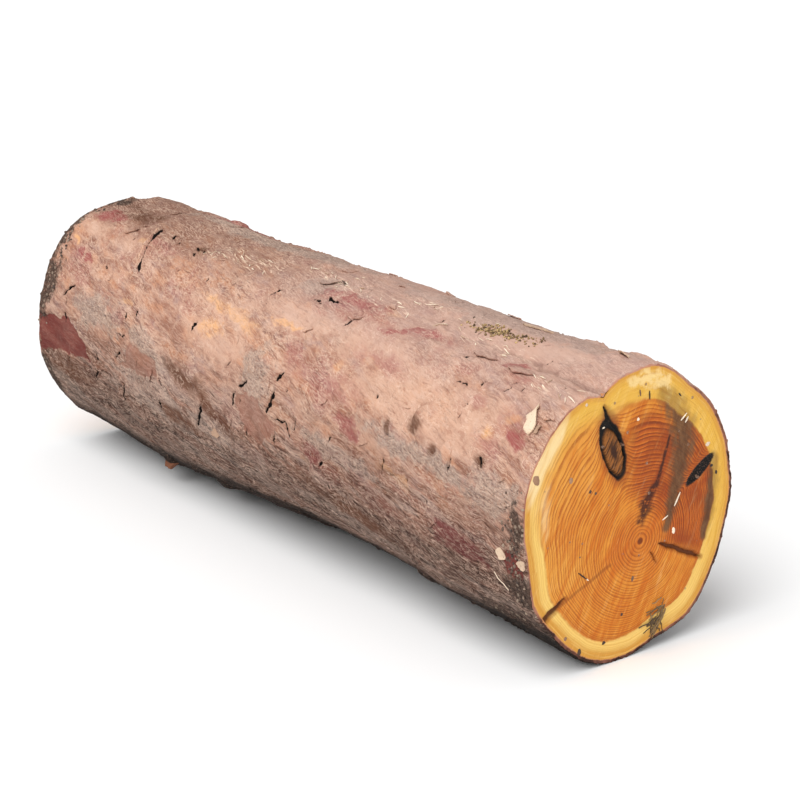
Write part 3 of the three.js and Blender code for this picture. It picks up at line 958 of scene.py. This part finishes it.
def wood_material():
    s = Shader("sawn_wood", 0.6, 0.2)
    at, ring, outer = s.place("face"), s.field("ring"), s.field("outer")
    gold, ochre = s.field("gold"), s.field("ochre")
    uneven = s.add("TexNoise", "Fac", {"W": ring, "Scale": 0.16, "Detail": 2.0}, noise_dimensions="1D")
    phase = s.sum("FRACT", s.field("years") + (uneven * 1.6 + s.noise(at, 6, 2) * 0.25))
    late = phase.step(0.4, 0.88) * phase.step(1.0, 0.94)
    early = phase.step(0.4, 0.1)
    turn = {"Vector": at, "Angle": math.radians(SAW_TURN)}
    sawn = s.add("VectorRotate", 0, turn, rotation_type="Z_AXIS")
    strokes = s.noise(s.stretched(sawn, 0.1), 1.3, 3, 0.6)
    broad = s.noise(s.stretched(sawn, 0.16), 7, 3, 0.6)
    bands = s.noise(s.stretched(s.place("polar"), 1, 0.05), 2.2, 3, 0.6)
    mottle = s.noise(at, 20, 3, 0.6)
    grit = s.noise(at, 1.1, 3, 0.7)

    # Heartwood and its rings
    red = (s.field("red") + (mottle - 0.5) * 0.5).step(0.15, 0.8)
    near = ring.step(36.0, 6.0)
    heart = s.mix(broad.step(0.32, 0.68), (198, 106, 25), (219, 145, 52))
    heart.lay(mottle.step(0.45, 0.7) * 0.6, (204, 122, 40))
    heart.lay(gold * broad.step(0.2, 0.6) * 0.75, (222, 154, 64))
    heart.lay(red * 0.9, s.mix(mottle.step(0.3, 0.7), (142, 55, 17), (180, 83, 25)))
    heart.lay(red * early * mottle.step(0.35, 0.6) * 0.5, (212, 122, 40))
    heart.lay(near * 0.5, (190, 94, 26))
    heart.lay(ring.step(3.2, 1.8) * 0.9, (96, 40, 16))
    line = s.mix(red, s.mix(near, (150, 66, 15), (136, 56, 14)), (98, 38, 14))
    heart.lay(late * grit.step(0.15, 0.5) * mottle.step(0.15, 0.6) * 0.74, line)

    # Sapwood
    sap = s.mix(outer.step(3.0, 9.0), (206, 148, 60), (234, 194, 106))
    sap.lay(bands.step(0.45, 0.7) * 0.5, (242, 208, 124))
    sap.lay(late * 0.3, (196, 136, 54))
    sap.lay(ochre * broad.step(0.2, 0.55) * 0.85, (220, 168, 62))
    sap.lay(ochre * bands.step(0.45, 0.3) * 0.6, (190, 130, 44))
    depth = s.field("heart") + (s.noise(at, 9, 3) - 0.5) * 4.0
    blend = s.field("soft") * 8.0
    in_heart = depth.step(-1.2 - blend, 1.2 + blend)
    colour = s.mix(in_heart, sap, heart)
    colour.lay(depth.line(1.6, 2.2) * (1 - gold) * 0.4, (176, 92, 28))

    # Saw marks, smears and torn wood
    colour.lay((s.field("cream") + (broad - 0.5) * 1.6).step(0.1, 1.1) * 0.75, (244, 220, 170))
    colour.lay(strokes.step(0.55, 0.72) * (0.3 - red * 0.2), (240, 186, 102))
    colour.lay(strokes.step(0.42, 0.28) * 0.22, (164, 84, 30))
    stain = s.noise(s.stretched(at, 1, 0.35), 5, 4, 0.7)
    smear = (s.field("smear") + (stain - 0.5) * 1.2).step(-0.15, 0.75) * (0.5 + in_heart * 0.43)
    colour.lay(smear, s.mix(stain.step(0.35, 0.7), (82, 54, 33), (113, 80, 52)))
    slash = s.field("slash").step(0.0, 0.8) * s.noise(at, 4, 4).step(0.3, 0.5)
    colour.lay(slash * 0.92, (58, 26, 17))
    splits = s.noise(s.stretched(at, 1, 0.16), 1.5, 3)
    torn = (s.field("torn") + (splits - 0.5) * 1.2).step(0.0, 0.7) * s.noise(at, 9, 3).step(0.34, 0.52)
    colour.lay(torn * 0.75, (240, 210, 148))

    # Knots, checks and specks
    knot, plug, seam, check = (s.field(name) for name in ("knot", "plug", "seam", "check"))
    black = 16, 12, 10
    colour.lay(seam.step(-2.2, 0.2) * 0.55, (120, 70, 30))
    colour.lay((knot + broad * 0.4).step(1.75, 1.1) * 0.6, (126, 56, 22))
    inside = s.mix(strokes.step(0.36, 0.62), (62, 34, 14), (150, 92, 40))
    inside.lay(plug.step(0.5, 0.2), (58, 30, 14))
    colour.lay(knot.step(1.1, 0.98), s.mix(plug.step(1.12, 0.9), black, inside))
    glint = s.mix(grit.step(0.55, 0.68), black, (120, 92, 80))
    colour.lay((s.field("small_knot") + grit * 0.3).step(1.32, 1.1), glint)
    colour.lay(seam.step(0.0, 0.4), s.mix(grit.step(0.5, 0.7), black, (60, 44, 32)))
    colour.lay(s.field("ray").step(0.0, 0.8) * 0.45, (120, 58, 20))
    colour.lay(check.step(2.5, 0.2) * 0.5, (132, 66, 26))
    colour.lay(check.step(0.3, -0.8) * 0.85, (84, 42, 22))
    specks = (s.cells(at, 13.0) + s.noise(at, 30, 2) * 0.25).step(0.24, 0.18)
    colour.lay(specks * 0.75, s.mix(grit.step(0.4, 0.6), (88, 54, 36), (168, 138, 118)))
    return s.finish(colour, s.bump(strokes * 0.6 + (late * 0.35 + grit * 0.3), 0.3))


# Left, low and size of a face on the map
FACE_MAPS = {"cleft": (0.0, 0.0, 0.72), "plain": (0.73, 0.0, 0.26)}
SIDE_BAND = 0.75, 1.0
FACE_SIZE = 0.24  # metres of a face that its part of the map spans


def face_map(grid, end):
    """The map corners of a sawn face: its quads, then the triangles round its pith."""
    left, low, size = FACE_MAPS[end]
    flat = np.stack([grid[..., 1] / FACE_SIZE + 0.5, grid[..., 2] / FACE_SIZE], -1) * size + (left, low)
    flat = closed(flat)
    pith = np.array(PITH[end]) * MM / FACE_SIZE + (0.5, 0)
    pith = np.broadcast_to(pith * size + (left, low), flat[0, 1:].shape)
    middle = np.stack([pith, flat[0, :-1], flat[0, 1:]], 1)
    return np.concatenate([cell_corners(flat).reshape(-1, 2), middle.reshape(-1, 2)])


def wood_piece(rows, columns, wood):
    """The wood inside the bark, sawn flat at both ends."""
    few = np.linspace(0, ROWS, SIDE_ROWS + 1).astype(int)
    side = trunk_points(rows[few], columns, wood[few])
    ends = {"plain": face_grid("plain", -HALF, side[0]), "cleft": face_grid("cleft", HALF, side[-1])}
    points, faces, maps, read, rings, start = [], [], [], {}, {}, 0
    for end, (grid, fields) in ends.items():
        index = numbered(grid, start)
        middle = start + index.size
        points += [grid.reshape(-1, 3), np.array([[grid[0, 0, 0], *(np.array(PITH[end]) * MM)]])]
        faces += grid_faces(closed(index))
        faces += [(middle, a, b) for a, b in zip(index[0], np.roll(index[0], -1))]
        maps.append(face_map(grid, end))
        for name, values in fields.items():
            flat = values.reshape(index.size, -1)
            read.setdefault(name, []).append(np.concatenate([flat, flat[:1]]))
        rings[end] = index[-1]
        start = middle + 1
    between = numbered(side[1:-1], start)
    points.append(side[1:-1].reshape(-1, 3))
    faces += grid_faces(closed(np.vstack([rings["plain"], between, rings["cleft"]])))
    for name, parts in read.items():
        parts.append(np.repeat(parts[0][-1:], between.size, axis=0))
        joined = np.concatenate(parts)
        read[name] = joined if joined.shape[1] > 1 else joined[:, 0]
    maps.append(grid_map((SIDE_ROWS + 1, COLUMNS + 1), *SIDE_BAND))
    points, maps = np.concatenate(points), np.concatenate(maps)
    piece = new_piece("wood", points, faces, wood_material(), "sawn_wood", read, maps)
    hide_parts("log")


# Small things on the log. A flake is its X, angle, half length, half width, turn and rise.

FLAKES = [
    (214, 111, 15, 5, 4, 1.6), (260, 114, 15, 5, 4, 1.6), (22, 160, 8, 5, 70, 1.6),
    (4, 101, 11, 6, -20, 1.6), (244, 156, 9, 4, 80, 1.6), (70, 116, 9, 5, 10, 1.6),
    (317, 128.5, 6.5, 4, 15, 1.4),
]
FLAKE_COUNT, FLAKE_SEED = 90, 81
FLAKE_GRID = 15, 7
CHIPS = [  # loose chips of pale inner bark: flakes, with a tone each
    (306.5, 131.6, 11.5, 4.6, -112, 2.6, 1.0), (314.5, 134.6, 3.6, 2.8, -60, 1.6, 0.72),
    (302.5, 187, 5, 3.6, 30, 1, 0.85), (323, 188.5, 4, 3.6, 70, 1, 0.8), (304.5, 84, 6, 3, 10, 3, 0.85),
    (206, 80, 18, 2.6, 3, 0.8, 0.8), (-46, 192, 5, 3, 10, 1.4, 0.7),
]
SPLINTER_COUNT, SPLINTER_SEED = 90, 83
STUB = {
    "angle": -124, "root": (-184, -163), "tip": (-181, -172), "length": 4.0, "sunk": 4.0,
    "thickness": 5.0,
}
CRUST = {"x": (156, 236), "angle": (90, 99), "count": 260, "size": (0.3, 1.0), "lift": 0.8, "seed": 85}
EDGE_MOSS = {
    "x": (305, 327), "angle": (158, 212), "count": 130, "size": (0.4, 1.2),
    "lift": 0.1, "seed": 87,
}
RIM_LICHEN = {
    "x": (-327, -309), "angle": (100, 176), "count": 70, "size": (0.5, 1.7),
    "lift": 0.1, "seed": 89,
}
THREAD = [(293.5, 196.8), (296.5, 199.2), (301.5, 200.8), (305.5, 203.2)]
SPRIG = {"root": (35, 35), "run": (-14, -22), "spread": 7.0, "count": 26, "seed": 93}
SLIVERS = [  # loose slivers on the sawn face, from end to end, and their tone
    ((45.5, 168.4), (50.5, 173), 1.0), ((49.8, 165.9), (52.1, 170.3), 1.0),
    ((42.4, 105.3), (47.2, 114.8), 1.0), ((31.2, 97.3), (35.9, 99.8), 0.9),
    ((-47.2, 76.6), (-40, 70.5), 0.0), ((-40, 70.5), (-38.1, 69), 1.0), ((14.3, 196.2), (14.3, 190), 0.0),
    ((5.3, 198.7), (5.5, 194.3), 0.2), ((42.5, 189), (44.5, 186.5), 0.0),
]
DROPS = [  # grit and drops of resin on the sawn face: place, size and tone
    (-87, 152.8, 2.6, 0.35), (-56, 146, 1.8, 0.5), (-44.4, 16.6, 2.0, 0.1), (-21.5, 17.4, 1.7, 0.05),
    (-57.7, 30, 1.5, 0.3), (4.3, 59.6, 1.4, 0.2), (73.3, 145, 2.2, 0.8), (42.7, 86.7, 1.6, 1.0),
    (-5, 34.8, 1.1, 0.1), (-38, 134, 1.2, 0.1), (-46, 88, 1.0, 0.2), (4.8, 177.5, 1.2, 1.0),
    (-43.5, 197.4, 1.2, 0.75), (-27.4, 177.9, 1.3, 0.85), (-33, 131.7, 1.3, 0.15), (78, 128, 1.4, 0.0),
    (83, 122, 1.2, 0.0),
]
ROD_SIDE = 0.31, 0.23, 0.92  # a direction that no rod runs along
CRUMB_LOOKS = {  # slot, and the colours of a low, a middle and a high tone
    "chips": ("bark", (92, 58, 42), (128, 78, 50), (230, 204, 176)),
    "splinters": ("sawn_wood", (52, 40, 36), (170, 130, 100), (246, 230, 206)),
    "moss": ("moss", (78, 60, 42), (148, 120, 80), (204, 176, 124)),
    "lichen": ("moss", (64, 50, 43), (100, 80, 68), (154, 134, 116)),
}


def on_bark(radius, x, angle, lift=0.0):
    """Places in millimetres that far over the bark."""
    return trunk_points(x, angle, read_grid(radius, x, angle - FIRST_ANGLE) + lift) / MM


def moved(x, angle, along, across, turn):
    """The X and angle of a place on the bark that lies along and across from another, at a turn from +X."""
    du, dv = turned(along, across, -turn)
    return x + du, angle + np.degrees(dv / MEAN_RADIUS)


def rod(path, radii, sides=4):
    """Points and faces of a closed rod along a path."""
    path, radii = np.asarray(path, float), np.asarray(radii, float)
    along = np.gradient(path, axis=0)
    along = along / np.linalg.norm(along, axis=1, keepdims=True)
    side = np.cross(along, ROD_SIDE)
    side = side / np.linalg.norm(side, axis=1, keepdims=True)
    up = np.cross(side, along)
    turns = 2 * np.pi * np.arange(sides) / sides
    ring = np.cos(turns)[None, :, None] * side[:, None] + np.sin(turns)[None, :, None] * up[:, None]
    index = numbered(ring)
    points = (path[:, None] + radii[:, None, None] * ring).reshape(-1, 3)
    return points, grid_faces(closed(index)) + [tuple(index[0]), tuple(index[-1])]


def slab(top, bottom):
    """Points and faces of a closed plate between two grids of places."""
    index = numbered(top)
    edge = np.concatenate([index[0, :-1], index[:-1, -1], index[-1, :0:-1], index[:0:-1, 0]])
    walls = [(a, b, b + index.size, a + index.size) for a, b in zip(edge, np.roll(edge, -1))]
    faces = grid_faces(index) + grid_faces(index + index.size) + walls
    return np.concatenate([top.reshape(-1, 3), bottom.reshape(-1, 3)]), faces


def flake(radius, x, angle, half_length, half_width, turn, rise, draw):
    """A curled plate of bark that lifts along one side and narrows along its length."""
    s, t = (np.linspace(-1, 1, count) for count in FLAKE_GRID)
    s, t = s[:, None], t[None, :]
    wave, sway = (np.interp(s, np.linspace(-1, 1, 6), draw.uniform(-1, 1, 6)) for _ in range(2))
    width = half_width * (1.01 - np.abs(s) ** 2.2) ** 0.8 * (1 - 0.35 * s + 0.25 * wave)
    px, pa = moved(x, angle, s * half_length, t * width + 0.25 * half_width * sway, turn)
    lift = rise * ((t + 1) / 2) ** 1.5 * (1 - 0.4 * s * s) + 0.1 * draw.uniform(-1, 1, FLAKE_GRID)
    thick = 0.3 + 0.03 * half_length
    return slab(on_bark(radius, px, pa, lift + thick), on_bark(radius, px, pa, lift - 0.3))


def stub(radius):
    """The torn stump of a twig: a wedge that stands out of the bark."""
    share, side = np.linspace(0, 1, 7)[:, None], np.linspace(0, 1, 6)[None, :]
    left, right = (root + share * (tip - root) for root, tip in zip(STUB["root"], STUB["tip"]))
    x = left + side * (right - left)
    lift = share * (STUB["length"] + STUB["sunk"]) - STUB["sunk"] + share * np.sin(9 * side)
    half = np.degrees(STUB["thickness"] / 2 / MEAN_RADIUS) * (1 - 0.5 * share) + 0 * side
    return slab(*(on_bark(radius, x, STUB["angle"] + turn, lift) for turn in (half, -half)))


def bark_look(fields):
    """What the bark's material reads for loose bark: the same as for the bark under it, uncracked."""
    def look(points, _tone):
        x, y, z = points.T
        up = z - middle_height(x)
        angle = np.degrees(np.arctan2(up, y))
        flat = {name: grid for name, grid in fields.items() if grid.ndim == 2}
        read = {name: read_grid(grid, x, angle - FIRST_ANGLE) for name, grid in flat.items()}
        read["crack"], read["height"], read["depth"] = np.full(len(x), 5.0), 0 * x, 0 * x
        read["grain"] = grain_place(x, angle, np.hypot(up, y))
        return read
    return look


def lump(place, size, draw):
    """A small rough lump."""
    stretch = draw.uniform(0.7, 1.3, 3)[2]  # the other two draws keep the order of those that follow
    lean = draw.normal(0, 1, 3) * 0.3 + (0, 0, 1)
    path = np.array(place) + np.outer((-0.9, -0.4, 0.4, 0.9), lean) * size * stretch
    return rod(path, size * np.array([0.35, 1.0, 0.95, 0.4]) * draw.uniform(0.75, 1.25, 4), 6)


def crumb_material(name, low, middle, high):
    """Three colours by a piece's tone, with grit."""
    s = Shader(name)
    grit = s.noise(s.add("TexCoord", "Object", {}), 1.2 * MM, 3, 0.7)
    tone = s.field("tone")
    colour = s.mix(tone.step(0.5, 1.0), s.mix(tone.step(0.0, 0.5), low, middle), high)
    colour.lay(grit.step(0.45, 0.3) * 0.5, low)
    return s.finish(colour, s.bump(grit, 0.4))


def add_crumbs(name, slot, material, shapes, look):
    """One piece of many small shapes, each with its tone."""
    points, faces, read, start = [], [], {}, 0
    for (own, own_faces), tone in shapes:
        points.append(own * MM)
        faces += [tuple(int(k) + start for k in face) for face in own_faces]
        for field, values in look(own, tone).items():
            read.setdefault(field, []).append(values)
        start += len(own)
    read = {field: np.concatenate(parts) for field, parts in read.items()}
    new_piece(name, np.concatenate(points), faces, material, slot, read)


def tone_look(points, tone):
    return {"tone": np.full(len(points), tone)}


def scattered(radius, patch):
    """Lumps strewn over a patch of the bark, thicker towards its middle."""
    draw = draws(patch["seed"])
    for _ in range(patch["count"]):
        share = np.clip(draw.normal(0.5, 0.24, 2), 0, 1)
        x, angle = (low + (high - low) * t for (low, high), t in zip((patch["x"], patch["angle"]), share))
        size = draw.uniform(*patch["size"])
        yield lump(on_bark(radius, x, angle, patch["lift"] * draw.random()), size, draw), draw.random()


def bark_flakes(radius):
    draw = draws(FLAKE_SEED)
    for shape in FLAKES:
        yield flake(radius, *shape, draw), 0.0
    for _ in range(FLAKE_COUNT):
        x, angle = draw.uniform(-HALF + 15, HALF - 15), draw.uniform(0, 360)
        size = draw.uniform(2.5, 8)
        shape = size, size * draw.uniform(0.3, 0.7), draw.normal(GRAIN_TURN, 40), draw.uniform(0.4, 1.2)
        yield flake(radius, x, angle, *shape, draw), 0.0


def chips(radius):
    draw = draws(FLAKE_SEED + 1)
    for *shape, tone in CHIPS:
        yield flake(radius, *shape, draw), tone
    yield stub(radius), 0.4


def pale_splinters(radius):
    draw = draws(SPLINTER_SEED)
    pale = PATCHES["pale"]
    for _ in range(SPLINTER_COUNT):
        px, pa, half_length, half_width, _ = pale[draw.integers(len(pale))]
        x, angle = px + half_length * draw.uniform(-1, 1), pa + half_width * draw.uniform(-0.5, 0.5)
        length, turn = draw.uniform(3, 10), draw.normal(GRAIN_TURN, 22)
        along = np.linspace(-0.5, 0.5, 4) * length
        rise = draw.uniform(0, 0.16) * (along + length / 2) + 0.1
        path = on_bark(radius, *moved(x, angle, along, 0.06 * along**2 / length, turn), rise)
        yield rod(path, draw.uniform(0.25, 0.6) * np.array([0.4, 1, 0.9, 0.3])), draw.uniform(0.6, 1)
    x, angle = (np.interp(np.linspace(0, 3, 10), range(4), values) for values in zip(*THREAD))
    yield rod(on_bark(radius, x, angle, 0.5), np.full(10, 0.4)), 0.8
    share = np.linspace(0, 1, 4)[:, None]
    for start, end, tone in SLIVERS:
        place = np.array(start) + share * (np.array(end) - np.array(start))
        yield rod(np.hstack([HALF + 0.3 + 0.5 * share, place]), [0.3, 0.55, 0.5, 0.3]), tone
    for y, z, size, tone in DROPS:
        points, faces = lump((0, y, z), size, draw)
        points[:, 0] = HALF + 0.25 * points[:, 0]
        yield (points, faces), tone


def mosses(radius):
    yield from scattered(radius, CRUST)
    draw = draws(SPRIG["seed"])
    root, run = np.array(SPRIG["root"]), np.array(SPRIG["run"])
    share = np.linspace(0, 1, 6)[:, None]
    for _ in range(SPRIG["count"]):
        start = root + run * draw.uniform(0, 0.6) + draw.normal(0, 0.35, 2) * SPRIG["spread"]
        end = start + run * draw.uniform(0.2, 0.6) + draw.normal(0, 0.8, 2) * SPRIG["spread"]
        place = start + share * (end - start) + draw.normal(0, 0.5, (6, 2))
        path = np.hstack([HALF + 0.2 + draw.uniform(0, 1.2) * np.sin(np.pi * share), place])
        yield rod(path, np.full(6, draw.uniform(0.3, 0.6))), draw.uniform(0, 0.45)


def lichens(radius):
    for patch in (EDGE_MOSS, RIM_LICHEN):
        yield from scattered(radius, patch)


def small_things(radius, fields, bark):
    add_crumbs("flakes", "bark", bark, bark_flakes(radius), bark_look(fields))
    kinds = {"chips": chips, "splinters": pale_splinters, "moss": mosses, "lichen": lichens}
    for name, shapes in kinds.items():
        slot, *colours = CRUMB_LOOKS[name]
        add_crumbs(name, slot, crumb_material(name, *colours), shapes(radius), tone_look)


# The stage

CAMERA = {"place": (1.4143, -1.0387, 0.6786), "yaw": 52.40, "pitch": 18.02, "lens": 103.5, "sensor": 36.0}
FLOOR = {"reach": 15.0, "colour": (0.9, 0.9, 0.9, 1), "roughness": 0.9}  # its colour in linear numbers
SKY = {"Color": (1, 1, 1, 1), "Strength": 0.55}
LIGHTS = [  # kind, name, place, target, power and settings
    ("SUN", "key", (0.3, -1.05, 1.5), (0, 0, 0), 2.6, {"angle": math.radians(50)}),
    ("AREA", "end", (2.1, -0.2, 0.45), (0.3, 0, 0.1), 7.6, {"size": 1.2}),
]


def add_camera():
    data = bpy.data.cameras.new("camera")
    data.lens, data.sensor_width = CAMERA["lens"], CAMERA["sensor"]
    camera = new_object("camera", data)
    camera.location = CAMERA["place"]
    camera.rotation_euler = math.radians(90 - CAMERA["pitch"]), 0, math.radians(CAMERA["yaw"])
    bpy.context.scene.camera = camera


def add_light(kind, name, place, target, power, settings):
    data = bpy.data.lights.new(name, kind)
    data.energy = power
    for setting, value in settings.items():
        setattr(data, setting, value)
    light = new_object(name, data)
    light.location = place
    light.rotation_euler = (Vector(target) - Vector(place)).to_track_quat("-Z", "Y").to_euler()


def add_stage():
    mesh = bpy.data.meshes.new("floor")
    reach = FLOOR["reach"]
    corners = [(-reach, -reach, 0), (reach, -reach, 0), (reach, reach, 0), (-reach, reach, 0)]
    mesh.from_pydata(corners, [], [(0, 1, 2, 3)])
    mesh.materials.append(Shader("floor", FLOOR["roughness"]).finish(FLOOR["colour"]))
    floor = new_object("floor", mesh)
    world = bpy.data.worlds.new("studio")
    world.use_nodes = True
    for name, value in SKY.items():
        world.node_tree.nodes["Background"].inputs[name].default_value = value
    bpy.context.scene.world = world
    for light in LIGHTS:
        add_light(*light)
    bpy.context.scene.view_settings.view_transform = "Standard"


add_camera()
add_stage()
rows, columns, radius, fields = bark_grid()
wood = wood_radii(rows, radius, fields["lit"])
bark = bark_material()
bark_pieces(rows, columns, radius, wood, fields, bark)
wood_piece(rows, columns, wood)
small_things(radius, fields, bark)
